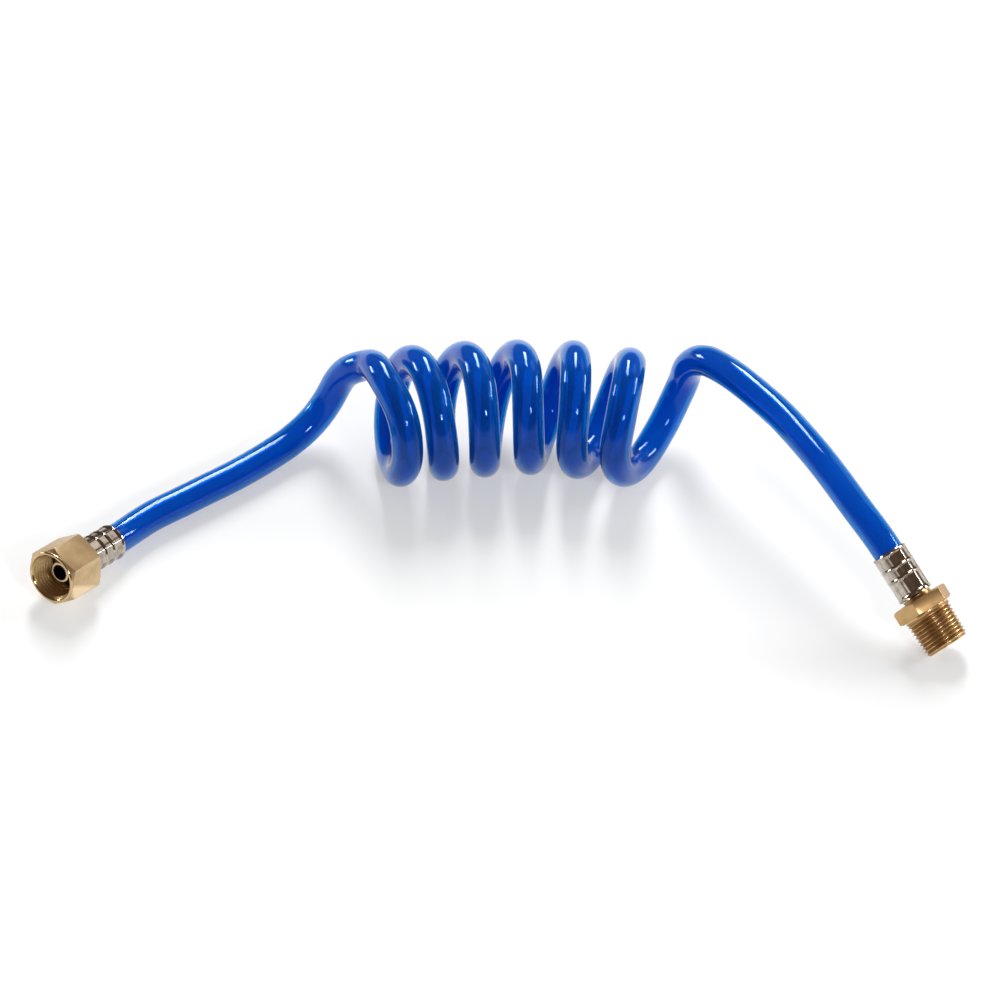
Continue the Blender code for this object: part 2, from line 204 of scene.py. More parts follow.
def meshFrom(bm, name):
    bmesh.ops.recalc_face_normals(bm, faces=bm.faces)
    mesh = bpy.data.meshes.new(name)
    bm.to_mesh(mesh)
    bm.free()
    return mesh


def closedMesh(bm, name):
    # Fills the slits that a thread's run-in and run-out leave
    bmesh.ops.remove_doubles(bm, verts=bm.verts, dist=0.002 * mm)
    bmesh.ops.holes_fill(bm, edges=[e for e in bm.edges if e.is_boundary], sides=0)
    return meshFrom(bm, name)


def applyModifiers(ob):
    # Replaces the object's mesh by what its modifiers make of it
    bpy.context.view_layer.update()
    deps = bpy.context.evaluated_depsgraph_get()
    mesh = bpy.data.meshes.new_from_object(ob.evaluated_get(deps))
    ob.modifiers.clear()
    ob.data = mesh


def combine(ob, other, operation):
    mod = ob.modifiers.new(operation.lower(), "BOOLEAN")
    mod.operation = operation
    mod.solver = "EXACT"
    mod.object = other
    applyModifiers(ob)
    bpy.data.objects.remove(other, do_unlink=True)


def hexCorner(acrossFlats):
    return acrossFlats / 2 / math.cos(math.pi / 6)


def hexBlank(name, acrossFlats, low, high, roll):
    bm = bmesh.new()
    radius = hexCorner(acrossFlats) * mm
    bmesh.ops.create_cone(
        bm, cap_ends=True, segments=6, radius1=radius, radius2=radius, depth=(high - low) * mm,
    )
    bmesh.ops.translate(bm, verts=bm.verts, vec=(0, 0, (low + high) / 2 * mm))
    turn = Matrix.Rotation(math.radians(roll), 3, "Z")
    bmesh.ops.rotate(bm, verts=bm.verts, cent=(0, 0, 0), matrix=turn)
    return linked(name, meshFrom(bm, name))


def roundEdges(ob, width, angle):
    bevel = ob.modifiers.new("edges", "BEVEL")
    bevel.width = width * mm
    bevel.segments = 2
    bevel.limit_method = "ANGLE"
    bevel.angle_limit = math.radians(angle)
    bevel.harden_normals = False
    applyModifiers(ob)


# Materials
def newMaterial(name):
    mat = bpy.data.materials.new(name)
    mat.use_nodes = True
    shader = mat.node_tree.nodes["Principled BSDF"]
    return mat, mat.node_tree, shader


def addNode(tree, kind, at, **values):
    node = tree.nodes.new(kind)
    node.location = at
    for key, value in values.items():
        setattr(node, key, value)
    return node


def groupTree(name, inputs, outputs):
    # inputs gives each one's default, and all sockets are numbers
    tree = bpy.data.node_groups.new(name, "ShaderNodeTree")
    for label, value in inputs.items():
        socket = tree.interface.new_socket(label, in_out="INPUT", socket_type="NodeSocketFloat")
        socket.default_value = value
    for label in outputs:
        tree.interface.new_socket(label, in_out="OUTPUT", socket_type="NodeSocketFloat")
    return tree, tree.nodes.new("NodeGroupInput"), tree.nodes.new("NodeGroupOutput")


def useGroup(tree, group, at, values):
    node = addNode(tree, "ShaderNodeGroup", at, node_tree=group)
    for key, value in values.items():
        node.inputs[key].default_value = value
    return node


def mixColour(tree, at, under, over, factor):
    # The colour under is fixed, or another node's output
    node = addNode(tree, "ShaderNodeMix", at, data_type="RGBA")
    if isinstance(under, tuple):
        node.inputs["A"].default_value = (*under, 1)
    else:
        tree.links.new(under, node.inputs["A"])
    node.inputs["B"].default_value = (*over, 1)
    tree.links.new(factor, node.inputs["Factor"])
    return node.outputs["Result"]


def roughRange(tree, at, source, look):
    node = addNode(tree, "ShaderNodeMapRange", at)
    node.inputs["To Min"].default_value = look["roughLow"]
    node.inputs["To Max"].default_value = look["roughHigh"]
    tree.links.new(source, node.inputs["Value"])
    return node.outputs["Result"]


def addBump(tree, at, source, look, shader):
    node = addNode(tree, "ShaderNodeBump", at)
    node.inputs["Strength"].default_value = look["bump"]
    node.inputs["Distance"].default_value = look["bumpDistance"]
    tree.links.new(source, node.inputs["Height"])
    tree.links.new(node.outputs["Normal"], shader.inputs["Normal"])


def latheGroup():
    # Rings and cloudy tarnish of a turned or drawn metal surface, about the piece's own Z
    sockets = {"Ring Scale": 900.0, "Cloud Scale": 180.0}
    tree, come, go = groupTree("latheMarks", sockets, ["Rings", "Clouds"])
    link = tree.links.new
    coord = addNode(tree, "ShaderNodeTexCoord", (-900, 0))
    parts = addNode(tree, "ShaderNodeSeparateXYZ", (-700, 100))
    link(coord.outputs["Object"], parts.inputs[0])
    along = addNode(tree, "ShaderNodeMath", (-500, 100), operation="MULTIPLY")
    link(parts.outputs["Z"], along.inputs[0])
    link(come.outputs["Ring Scale"], along.inputs[1])
    rings = addNode(tree, "ShaderNodeTexNoise", (-300, 100), noise_dimensions="1D")
    rings.inputs["Scale"].default_value = 1.0
    rings.inputs["Detail"].default_value = 3.0
    link(along.outputs[0], rings.inputs["W"])
    clouds = addNode(tree, "ShaderNodeTexNoise", (-300, -150))
    clouds.inputs["Detail"].default_value = 4.0
    clouds.inputs["Roughness"].default_value = 0.6
    link(coord.outputs["Object"], clouds.inputs["Vector"])
    link(come.outputs["Cloud Scale"], clouds.inputs["Scale"])
    spread = addNode(tree, "ShaderNodeMapRange", (-100, -150))
    spread.inputs["From Min"].default_value = 0.35
    spread.inputs["From Max"].default_value = 0.65
    link(clouds.outputs["Fac"], spread.inputs["Value"])
    link(rings.outputs["Fac"], go.inputs["Rings"])
    link(spread.outputs["Result"], go.inputs["Clouds"])
    return tree


def edgeGroup():
    # Edges is 1 on outer edges, where the colour shows rubbed metal and a painted highlight, and
    # Hollows is 1 in inner corners, where the colour is painted shade
    tree, come, go = groupTree("edgeWearHighlightAndCornerShade", {"Low": 0.52, "High": 0.58}, ["Edges", "CornerShade"])
    link = tree.links.new
    geo = addNode(tree, "ShaderNodeNewGeometry", (-500, 0))
    edges = addNode(tree, "ShaderNodeMapRange", (-200, 100))
    link(geo.outputs["Pointiness"], edges.inputs["Value"])
    link(come.outputs["Low"], edges.inputs["From Min"])
    link(come.outputs["High"], edges.inputs["From Max"])
    hollows = addNode(tree, "ShaderNodeMapRange", (-200, -200))
    hollows.inputs["From Min"].default_value = 0.49
    hollows.inputs["From Max"].default_value = 0.42
    link(geo.outputs["Pointiness"], hollows.inputs["Value"])
    link(edges.outputs["Result"], go.inputs["Edges"])
    link(hollows.outputs["Result"], go.inputs["CornerShade"])
    return tree


def boreGroup():
    # Inside is 1 within a radius about the piece's own Z, where the colour is painted shade, and Lip
    # is 1 beyond a height along it
    sockets = {"Radius": 0.01, "Softness": 0.0006, "Lip From": 1.0}
    tree, come, go = groupTree("boreShade", sockets, ["Inside", "Lip"])
    link = tree.links.new
    coord = addNode(tree, "ShaderNodeTexCoord", (-900, 0))
    flat = addNode(tree, "ShaderNodeVectorMath", (-700, 0), operation="MULTIPLY")
    flat.inputs[1].default_value = (1, 1, 0)
    link(coord.outputs["Object"], flat.inputs[0])
    away = addNode(tree, "ShaderNodeVectorMath", (-500, 0), operation="LENGTH")
    link(flat.outputs[0], away.inputs[0])
    outer = addNode(tree, "ShaderNodeMath", (-500, -200), operation="ADD")
    link(come.outputs["Radius"], outer.inputs[0])
    link(come.outputs["Softness"], outer.inputs[1])
    inside = addNode(tree, "ShaderNodeMapRange", (-250, 0))
    link(away.outputs["Value"], inside.inputs["Value"])
    link(outer.outputs[0], inside.inputs["From Min"])
    link(come.outputs["Radius"], inside.inputs["From Max"])
    link(inside.outputs["Result"], go.inputs["Inside"])
    parts = addNode(tree, "ShaderNodeSeparateXYZ", (-700, -400))
    link(coord.outputs["Object"], parts.inputs[0])
    lip = addNode(tree, "ShaderNodeMath", (-250, -400), operation="GREATER_THAN")
    link(parts.outputs["Z"], lip.inputs[0])
    link(come.outputs["Lip From"], lip.inputs[1])
    link(lip.outputs[0], go.inputs["Lip"])
    return tree


latheMarks = latheGroup()
edgeWearHighlightAndCornerShade = edgeGroup()
boreShade = boreGroup()

# In the brass looks, hollow is painted shade for inner corners and thread valleys
nutBrass = {
    # edge is brighter brass on outer edges, partly rubbed metal and partly a painted highlight
    "clean": (0.62, 0.45, 0.25), "dull": (0.5, 0.35, 0.18), "edge": (0.85, 0.66, 0.42),
    # inside is painted shade for the bore and the thread
    "hollow": (0.2, 0.13, 0.06), "inside": (0.5, 0.34, 0.16), "ringScale": 9000.0, "cloudScale": 160.0,
    "roughLow": 0.36, "roughHigh": 0.48, "edgeRough": 0.12, "bump": 0.05, "bumpDistance": 0.0002,
}
# The stem's bore is painted near black as shade
stemBrass = dict(nutBrass, inside=(0.012, 0.008, 0.006), roughLow=0.22, roughHigh=0.32)
maleBrass = dict(
    nutBrass, clean=(0.54, 0.34, 0.15), dull=(0.42, 0.26, 0.11), edge=(0.9, 0.62, 0.32),
    hollow=(0.36, 0.21, 0.085), inside=(0.05, 0.03, 0.015),
)
noLip = 1000.0  # mm, past the end of any piece


def useMarks(tree, at, look):
    scales = {"Ring Scale": look["ringScale"], "Cloud Scale": look["cloudScale"]}
    return useGroup(tree, latheMarks, at, scales)


def brassMaterial(name, look, boreRadius, lipFrom=noLip):
    mat, tree, shader = newMaterial(name)
    link = tree.links.new
    reach = {"Radius": boreRadius * mm, "Lip From": lipFrom * mm}
    marks = useMarks(tree, (-1100, 100), look)
    edgeAndCornerMasks = useGroup(tree, edgeWearHighlightAndCornerShade, (-1100, -250), {})
    bore = useGroup(tree, boreShade, (-1100, -500), reach)
    tone = mixColour(tree, (-850, 200), look["clean"], look["dull"], marks.outputs["Clouds"])
    # The edge colour brightens outer edges, partly as rubbed brass and partly as a painted highlight
    rubbedAndHighlit = mixColour(tree, (-680, 200), tone, look["edge"], edgeAndCornerMasks.outputs["Edges"])
    # The hollow colour darkens inner corners as painted shade
    deep = mixColour(tree, (-510, 200), rubbedAndHighlit, look["hollow"], edgeAndCornerMasks.outputs["CornerShade"])
    # shaded paints the bore and thread with the inside colour, as painted shade
    shaded = mixColour(tree, (-340, 200), deep, look["inside"], bore.outputs["Inside"])
    link(shaded, shader.inputs["Base Color"])
    shiny = addNode(tree, "ShaderNodeMath", (-380, -180), operation="MAXIMUM")
    link(edgeAndCornerMasks.outputs["Edges"], shiny.inputs[0])
    link(bore.outputs["Lip"], shiny.inputs[1])
    polished = addNode(tree, "ShaderNodeMix", (-180, -50), data_type="FLOAT")
    polished.inputs["B"].default_value = look["edgeRough"]
    link(roughRange(tree, (-380, -50), marks.outputs["Rings"], look), polished.inputs["A"])
    link(shiny.outputs[0], polished.inputs["Factor"])
    link(polished.outputs["Result"], shader.inputs["Roughness"])
    addBump(tree, (-380, -320), marks.outputs["Rings"], look, shader)
    shader.inputs["Metallic"].default_value = 1.0
    return mat


# In the plating, hollow is painted shade for the crimps' inner corners
platedLook = {
    "clean": (0.56, 0.5, 0.43), "dull": (0.33, 0.28, 0.23), "hollow": (0.06, 0.05, 0.045),
    "ringScale": 500.0, "cloudScale": 260.0,
    "roughLow": 0.05, "roughHigh": 0.16, "bump": 0.04, "bumpDistance": 0.0002,
}


def platedMaterial(name, look):
    mat, tree, shader = newMaterial(name)
    link = tree.links.new
    marks = useMarks(tree, (-900, 100), look)
    edgeAndCornerMasks = useGroup(tree, edgeWearHighlightAndCornerShade, (-900, -250), {})
    tone = mixColour(tree, (-600, 200), look["clean"], look["dull"], marks.outputs["Clouds"])
    # The hollow colour darkens the crimps' inner corners as painted shade
    deep = mixColour(tree, (-380, 200), tone, look["hollow"], edgeAndCornerMasks.outputs["CornerShade"])
    link(deep, shader.inputs["Base Color"])
    link(roughRange(tree, (-380, -50), marks.outputs["Clouds"], look), shader.inputs["Roughness"])
    addBump(tree, (-380, -320), marks.outputs["Rings"], look, shader)
    shader.inputs["Metallic"].default_value = 1.0
    return mat


hoseLook = {
    "deep": (0.0, 0.165, 0.67), "bright": (0.0, 0.255, 0.82), "glossTint": (0.2, 0.3, 0.6),
    "coat": 0.12, "coatRough": 0.03, "transmission": 0.8, "ior": 1.5,
    "roughLow": 0.02, "roughHigh": 0.05, "bump": 0.02, "bumpDistance": 0.0003,
    "cloudScale": 45.0, "cloudDetail": 3.0, "scuffScale": 320.0, "scuffDetail": 5.0,
}


def noiseNode(tree, at, coord, scale, detail):
    node = addNode(tree, "ShaderNodeTexNoise", at)
    node.inputs["Scale"].default_value = scale
    node.inputs["Detail"].default_value = detail
    tree.links.new(coord.outputs["Object"], node.inputs["Vector"])
    return node


def hoseMaterial(name, look):
    mat, tree, shader = newMaterial(name)
    link = tree.links.new
    coord = addNode(tree, "ShaderNodeTexCoord", (-1200, 0))
    clouds = noiseNode(tree, (-1000, 200), coord, look["cloudScale"], look["cloudDetail"])
    scuffs = noiseNode(tree, (-1000, -300), coord, look["scuffScale"], look["scuffDetail"])
    tone = mixColour(tree, (-700, 200), look["deep"], look["bright"], clouds.outputs["Fac"])
    link(tone, shader.inputs["Base Color"])
    link(roughRange(tree, (-450, -150), scuffs.outputs["Fac"], look), shader.inputs["Roughness"])
    addBump(tree, (-450, -400), clouds.outputs["Fac"], look, shader)
    shader.inputs["IOR"].default_value = look["ior"]
    shader.inputs["Specular Tint"].default_value = (*look["glossTint"], 1)
    shader.inputs["Coat Weight"].default_value = look["coat"]
    shader.inputs["Coat Roughness"].default_value = look["coatRough"]
    shader.inputs["Transmission Weight"].default_value = look["transmission"]
    return mat


print("materials ready")


def placePiece(ob, matrix, body, mat, nodes, sharpDegrees=30):
    ob.matrix_world = matrix
    ob.data.materials.clear()
    ob.data.materials.append(mat)
    smoothMesh(ob.data, sharpDegrees)
    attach(ob, body)
    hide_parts(*nodes)


# Hose
hosePlan = {
    "diameter": 14.0, "bore": 9.5, "insert": 20.0, "straightOut": 9.0,
    "floorGap": 0.2, "lean": 42.0, "sides": 40, "step": 2.5, "easing": 2,
    "squeezed": 6.28, "barbBore": 5.35, "squeezeFrom": 1.2, "squeezeOver": 2.5,
    # More rounds for the two tails, which have no coil to shrink. The last points are held.
    "tailEasing": 14, "tailFrom": 95.0, "held": 9,
    "perStation": 3, "perSpan": 24, "smoothDegrees": 60,
}
leftRoute = [
    (-154.9, 53.0, 7.8), (-143.6, 60.9, 7.5), (-132.5, 69.7, 7.4), (-121.4, 77.6, 7.3),
    (-110.3, 86.8, 7.2), (-101.5, 94.7, 7.3), (-93.5, 101.7, 8.4), (-86.8, 107.0, 11.1),
    (-81.9, 110.7, 14.7), (-77.9, 113.6, 19.3), (-74.4, 115.3, 25.4), (-71.7, 115.8, 32.0),
    (-68.1, 114.7, 38.6), (-64.4, 112.2, 43.3),
]
rightRoute = [
    (74.5, 109.2, 14.9), (78.8, 114.3, 22.5), (82.9, 116.2, 33.0), (84.6, 113.8, 42.4),
    (89.2, 109.4, 50.5), (94.8, 103.0, 55.0), (101.0, 95.0, 57.5), (107.2, 86.5, 59.1),
    (116.1, 74.6, 59.7), (125.0, 62.6, 59.9), (133.9, 48.1, 59.6), (142.7, 34.2, 58.0),
    (151.6, 20.2, 54.4), (160.5, 7.7, 48.9),
]
# Along X, eight places round each turn: its top, front, bottom, back and the four between
coilStations = [
    (-57.5, -50.6, -42.4, -40.4, -43.7, -47.5, -48.7, -45.5),
    (-38.9, -31.7, -26.9, -24.6, -24.6, -25.1, -26.2, -22.6),
    (-15.3, -9.5, -6.9, -6.1, -6.1, -5.5, -3.1, 2.0),
    (8.2, 12.1, 13.1, 13.5, 14.2, 17.3, 22.9, 28.6),
    (33.3, 34.4, 33.7, 32.6, 34.9, 41.5, 48.2, 54.4),
    (58.6, 57.7, 54.4, 51.7, 55.7, 64.6, 74.1, 78.8),
]
# Turn by turn, the radius and the axis along Y
coilTurns = [
    (23.9, 92.5), (23.6, 96.3), (23.7, 98.7), (23.5, 100.2), (24.2, 97.9), (24.35, 92.7), (24.3, 89.7),
]


def catmullRom(a, b, c, d, t):
    # Runs from b to c, for numbers and for vectors
    return 0.5 * (
        2 * b + (c - a) * t + (2 * a - 5 * b + 4 * c - d) * t * t + (3 * b - a - 3 * c + d) * t ** 3
    )


def smoothRead(values, at):
    # Reads a smooth curve through evenly spaced values
    k = min(max(int(math.floor(at)), 0), len(values) - 2)
    t = at - k
    a = values[k - 1] if k > 0 else 2 * values[0] - values[1]
    b, c = values[k], values[k + 1]
    d = values[k + 2] if k + 2 < len(values) else 2 * values[-1] - values[-2]
    return catmullRom(a, b, c, d, t)


def halfway(a, b):
    return tuple((i + j) / 2 for i, j in zip(a, b))


def coilSizes():
    # Each turn keeps its size for five places and eases into the next over three
    sizes = []
    for here, after in zip(coilTurns, coilTurns[1:]):
        between = halfway(here, after)
        sizes += [here] * 5 + [halfway(here, between), between, halfway(between, after)]
    return sizes


def coilPoints():
    # The coil rests on the floor and leans away from the camera's side
    p = hosePlan
    lean = math.radians(p["lean"])
    up = Vector((0, math.sin(lean), math.cos(lean)))
    near = Vector((0, -math.cos(lean), math.sin(lean)))
    stations = [x for turn in coilStations for x in turn]
    radii, middles = zip(*coilSizes())
    points = []
    for k in range((len(stations) - 2) * p["perStation"]):
        at = k / p["perStation"]
        angle = at * math.pi / 4
        radius = smoothRead(radii, at)
        middle = smoothRead(middles, at)
        height = radius + p["diameter"] / 2 + p["floorGap"]
        centre = Vector((smoothRead(stations, at), middle, height))
        points.append(centre + radius * (math.cos(angle) * up + math.sin(angle) * near))
    return points


def smoothPath(points, step):
    dense = []
    padded = [2 * points[0] - points[1]] + points + [2 * points[-1] - points[-2]]
    for a, b, c, d in zip(padded, padded[1:], padded[2:], padded[3:]):
        dense += [catmullRom(a, b, c, d, k / hosePlan["perSpan"]) for k in range(hosePlan["perSpan"])]
    dense.append(points[-1])
    return evenPath(dense, step)


def runLengths(line):
    runs = [0.0]
    for a, b in zip(line, line[1:]):
        runs.append(runs[-1] + (b - a).length)
    return runs


def evenPath(line, step):
    runs = runLengths(line)
    count = max(2, round(runs[-1] / step))
    path = []
    k = 0
    for i in range(count + 1):
        want = runs[-1] * i / count
        while k < len(runs) - 2 and runs[k + 1] < want:
            k += 1
        share = (want - runs[k]) / max(runs[k + 1] - runs[k], 1e-12)
        path.append(line[k].lerp(line[k + 1], min(1.0, share)))
    return path


def easedPath(path):
    # Takes small kinks out and leaves the ends where they are
    p = hosePlan
    for k in range(p["tailEasing"]):
        path = [
            (path[i - 1] + q * 2 + path[i + 1]) / 4
            if p["held"] <= i < len(path) - p["held"] and (k < p["easing"] or abs(q.x) > p["tailFrom"])
            else q
            for i, q in enumerate(path)
        ]
    return path


def hosePath():
    p = hosePlan
    leftMouth = leftEnd.translation / mm
    rightMouth = rightEnd.translation / mm
    leftOut = leftEnd.to_3x3() @ Vector((0, 0, 1))
    rightOut = rightEnd.to_3x3() @ Vector((0, 0, 1))
    start = [leftMouth + leftOut * p["insert"], leftMouth, leftMouth - leftOut * p["straightOut"]]
    end = [rightMouth - rightOut * p["straightOut"], rightMouth, rightMouth + rightOut * p["insert"]]
    middle = [Vector(q) for q in leftRoute] + coilPoints() + [Vector(q) for q in rightRoute]
    return easedPath(smoothPath(start + middle + end, p["step"]))


def hoseRadii(path):
    # The crimps squeeze both ends, and the barbs stretch their bore
    p = hosePlan
    runs = runLengths(path)
    radii = []
    for run in runs:
        inside = p["insert"] - min(run, runs[-1] - run)
        share = eased((inside - p["squeezeFrom"]) / p["squeezeOver"])
        outer = p["diameter"] / 2 * (1 - share) + p["squeezed"] * share
        inner = p["bore"] / 2 * (1 - share) + p["barbBore"] * share
        radii.append((outer, inner))
    return radii, runs[-1]


def tubeMesh(path, radii, sides):
    bm = bmesh.new()
    across = Vector((0, 0, 1))
    outer = []
    inner = []
    for i, point in enumerate(path):
        ahead = path[min(i + 1, len(path) - 1)] - path[max(i - 1, 0)]
        ahead.normalize()
        across = (across - ahead * across.dot(ahead)).normalized()
        side = ahead.cross(across)
        rows = ([], [])
        for j in range(sides):
            angle = 2 * math.pi * j / sides
            away = across * math.cos(angle) + side * math.sin(angle)
            for row, radius in zip(rows, radii[i]):
                row.append(bm.verts.new((point + away * radius) * mm))
        outer.append(rows[0])
        inner.append(rows[1])
    joinChain(bm, outer)
    for a, b in zip(inner, inner[1:]):
        joinRings(bm, b, a)
    joinRings(bm, inner[0], outer[0])
    joinRings(bm, outer[-1], inner[-1])
    return bm


def makeHose():
    p = hosePlan
    path = hosePath()
    radii, length = hoseRadii(path)
    ob = linked("coiledHose", meshFrom(tubeMesh(path, radii, p["sides"]), "coiledHose"))
    nodes = ("hose_left_tail", "hose_coil", "hose_right_tail")
    mat = hoseMaterial("bluePolyurethane", hoseLook)
    placePiece(ob, Matrix.Identity(4), "hose", mat, nodes, p["smoothDegrees"])
    print(f"hose made, {length:.0f} mm long")


makeHose()


# Crimped ferrules
ferrulePlan = {
    "length": endPlan["ferruleLength"], "radius": 8.2, "wall": 0.85, "lipRadius": 5.0,
    "lipWall": 0.9, "round": 0.4, "flats": 8, "depth": 0.75, "ramp": 0.9,
    "bands": ((1.0, 7.4), (7.4, 12.6), (12.6, 21.2)),
    "flatness": 0.6, "turned": 6.0, "sides": 160, "rows": 96, "ridge": 0.16, "ridgeWidth": 0.1,
    "funnel": (0.6, 2.0), "smoothDegrees": 40,
}


def crimpWeight(z, p):
    weight = 0.0
    for low, high in p["bands"]:
        weight = max(weight, eased(min(z - low, high - z) / p["ramp"]))
    return weight


def crimpedRadius(angle, z, radius, p):
    sector = 2 * math.pi / p["flats"]
    offMiddle = (angle % sector) - sector / 2
    flat = (radius - p["depth"]) / math.cos(offMiddle) ** p["flatness"]
    toEdge = (sector / 2 - abs(offMiddle)) / p["ridgeWidth"]
    ridge = p["ridge"] * math.exp(-toEdge * toEdge)
    weight = crimpWeight(z, p)
    return (1 - weight) * radius + weight * (min(radius, flat) + ridge)


def makeFerrule(name, matrix, node):
    p = ferrulePlan
    bm = bmesh.new()
    edge = p["radius"] - p["round"]
    inner = p["radius"] - p["wall"]
    lipLow = p["length"] - p["lipWall"]
    outline = [(0.0, edge)]
    for k in range(p["rows"] + 1):
        z = p["round"] + (p["length"] - 2 * p["round"]) * k / p["rows"]
        outline.append((z, p["radius"]))
    outline += [
        (p["length"], edge), (p["length"], p["lipRadius"]), (lipLow, p["lipRadius"]),
        (lipLow, inner - p["depth"]), (p["funnel"][1], inner - p["depth"]), (p["funnel"][0], inner),
        (0.0, inner),
    ]
    loops = []
    for z, radius in outline:
        loop = []
        for i in range(p["sides"]):
            angle = 2 * math.pi * i / p["sides"]
            r = radius
            if radius >= edge:
                r = crimpedRadius(angle + math.radians(p["turned"]), z, radius, p)
            loop.append(bm.verts.new((r * mm * math.cos(angle), r * mm * math.sin(angle), z * mm)))
        loops.append(loop)
    joinChain(bm, loops + loops[:1])
    ob = linked(name, meshFrom(bm, name))
    mat = platedMaterial("brightPlating." + name, platedLook)
    placePiece(ob, matrix, "hose", mat, [node], p["smoothDegrees"])


makeFerrule("leftFerruleDetail", leftEnd, "left_ferrule")
makeFerrule("rightFerruleDetail", rightEnd, "right_ferrule")
print("ferrules made")


# Barbs that both fittings have, from the tip of the barbs up to the groove
barbPlan = {
    "bore": 3.4, "start": 1.5, "count": 4, "pitch": 4.4, "radius": 5.0, "root": 4.35,
    "rise": 0.8, "land": 0.12,  # parts of the pitch
    "insert": 20.2, "stop": 6.0, "stopThickness": 0.8, "gap": 0.3, "groove": 4.7,
}


def barbProfile():
    p = barbPlan
    points = [(p["bore"], p["start"]), (p["root"], p["start"])]
    for i in range(p["count"]):
        low = p["start"] + i * p["pitch"]
        high = low + p["pitch"] * p["rise"]
        if i:
            points.append((p["root"], low))
        land = high - p["pitch"] * p["land"]
        points += [(p["radius"], land), (p["radius"], high), (p["root"], high)]
    low = p["insert"] + p["gap"]
    high = low + p["stopThickness"]
    return points + [(p["root"], low), (p["stop"], low), (p["stop"], high), (p["groove"], high)]


# Swivel stem
stemPlan = {
    "neck": 6.3, "flange": 8.6, "flangeThickness": 2.5, "noseRecess": 6.3,
    "nose": 4.8, "noseTip": 1.7, "noseBase": 6.6, "coneDegrees": 30, "round": 0.35, "chamfer": 0.3,
    "shadeRadius": 3.5, "sides": 128,
}


def makeStem():
    p = stemPlan
    q = endPlan
    mouth = q["ferruleLength"] + q["nutGap"] + q["nutLength"]
    tip = mouth - p["noseRecess"]
    neckLow = q["ferruleLength"] + barbPlan["gap"]
    flangeLow = q["ferruleLength"] + q["nutGap"] + q["nutBackWall"] + barbPlan["gap"]
    flangeHigh = flangeLow + p["flangeThickness"]
    coneTop = tip - p["noseTip"]
    coneLow = coneTop - (p["noseBase"] - p["nose"]) / math.tan(math.radians(p["coneDegrees"]))
    bore = barbPlan["bore"]
    cut = p["chamfer"]
    r = p["round"]
    slight = 0.3 * r  # the middle point of a rounded corner
    profile = barbProfile() + [
        (barbPlan["groove"], neckLow), (p["neck"], neckLow), (p["neck"], flangeLow),
        (p["flange"] - cut, flangeLow), (p["flange"], flangeLow + cut),
        (p["flange"], flangeHigh - cut), (p["flange"] - cut, flangeHigh),
        (p["noseBase"], flangeHigh), (p["noseBase"], coneLow), (p["nose"], coneTop),
        (p["nose"], tip - r), (p["nose"] - slight, tip - slight), (p["nose"] - r, tip),
        (bore + r, tip), (bore + slight, tip - slight), (bore, tip - r),
    ]
    bm = bmesh.new()
    turnedShell(bm, profile, p["sides"])
    ob = linked("swivelStemDetail", meshFrom(bm, "swivelStemDetail"))
    mat = brassMaterial("turnedBrass.stem", stemBrass, p["shadeRadius"])
    placePiece(ob, leftEnd, "hose", mat, ["swivel_stem"])


makeStem()
print("stem made")


# Swivel nut
nutPlan = {
    "acrossFlats": 24.6, "length": endPlan["nutLength"], "backWall": endPlan["nutBackWall"],
    "hole": 6.7, "roll": -23.7,
    "lip": 1.0, "lipRadius": 12.15, "lipRound": 0.6, "frontChamfer": 1.2,
    "rearChamfer": 0.9, "rearFace": 12.8, "edge": 0.16, "edgeDegrees": 35, "spare": 1.0, "beyond": 0.2,
    "crest": 9.7, "root": 10.62, "relief": 2.4, "mouthOver": 0.06, "rim": 0.4,
    # How far out in mm, and how far up in rims
    "rimSteps": ((0.06, 0.45), (0.17, 0.75), (0.32, 0.95), (1.4, 3.0)),
    "shadeRadius": 10.7, "sides": 144,
}


def threadedPlug(p):
    # What the tap takes out of the nut
    bm = bmesh.new()
    sides = p["sides"]
    low = p["backWall"]
    mouth = p["length"] - p["rim"]
    sink = p["root"] + p["mouthOver"]

    def radiusAt(height, z):
        deep = min(1.0, max(0.0, (z - low - p["relief"]) / threadPitch))
        thread = p["crest"] + (p["root"] - p["crest"]) * height * deep
        return max(thread, sink - (mouth - z))

    hole = addRing(bm, p["hole"] * mm, -p["spare"] * mm, sides)
    holeTop = addRing(bm, p["hole"] * mm, low * mm, sides)
    first = addRing(bm, p["crest"] * mm, low * mm, sides)
    last = addRing(bm, sink * mm, mouth * mm, sides)
    capRing(bm, hole, False)
    joinRings(bm, hole, holeTop)
    joinRings(bm, holeTop, first)
    threadBand(bm, first, last, low, mouth, radiusAt)
    for out, rise in p["rimSteps"]:
        ring = addRing(bm, (sink + out) * mm, (mouth + p["rim"] * rise) * mm, sides)
        joinRings(bm, last, ring)
        last = ring
    capRing(bm, last, True)
    return linked("nutTap", closedMesh(bm, "nutTap"))


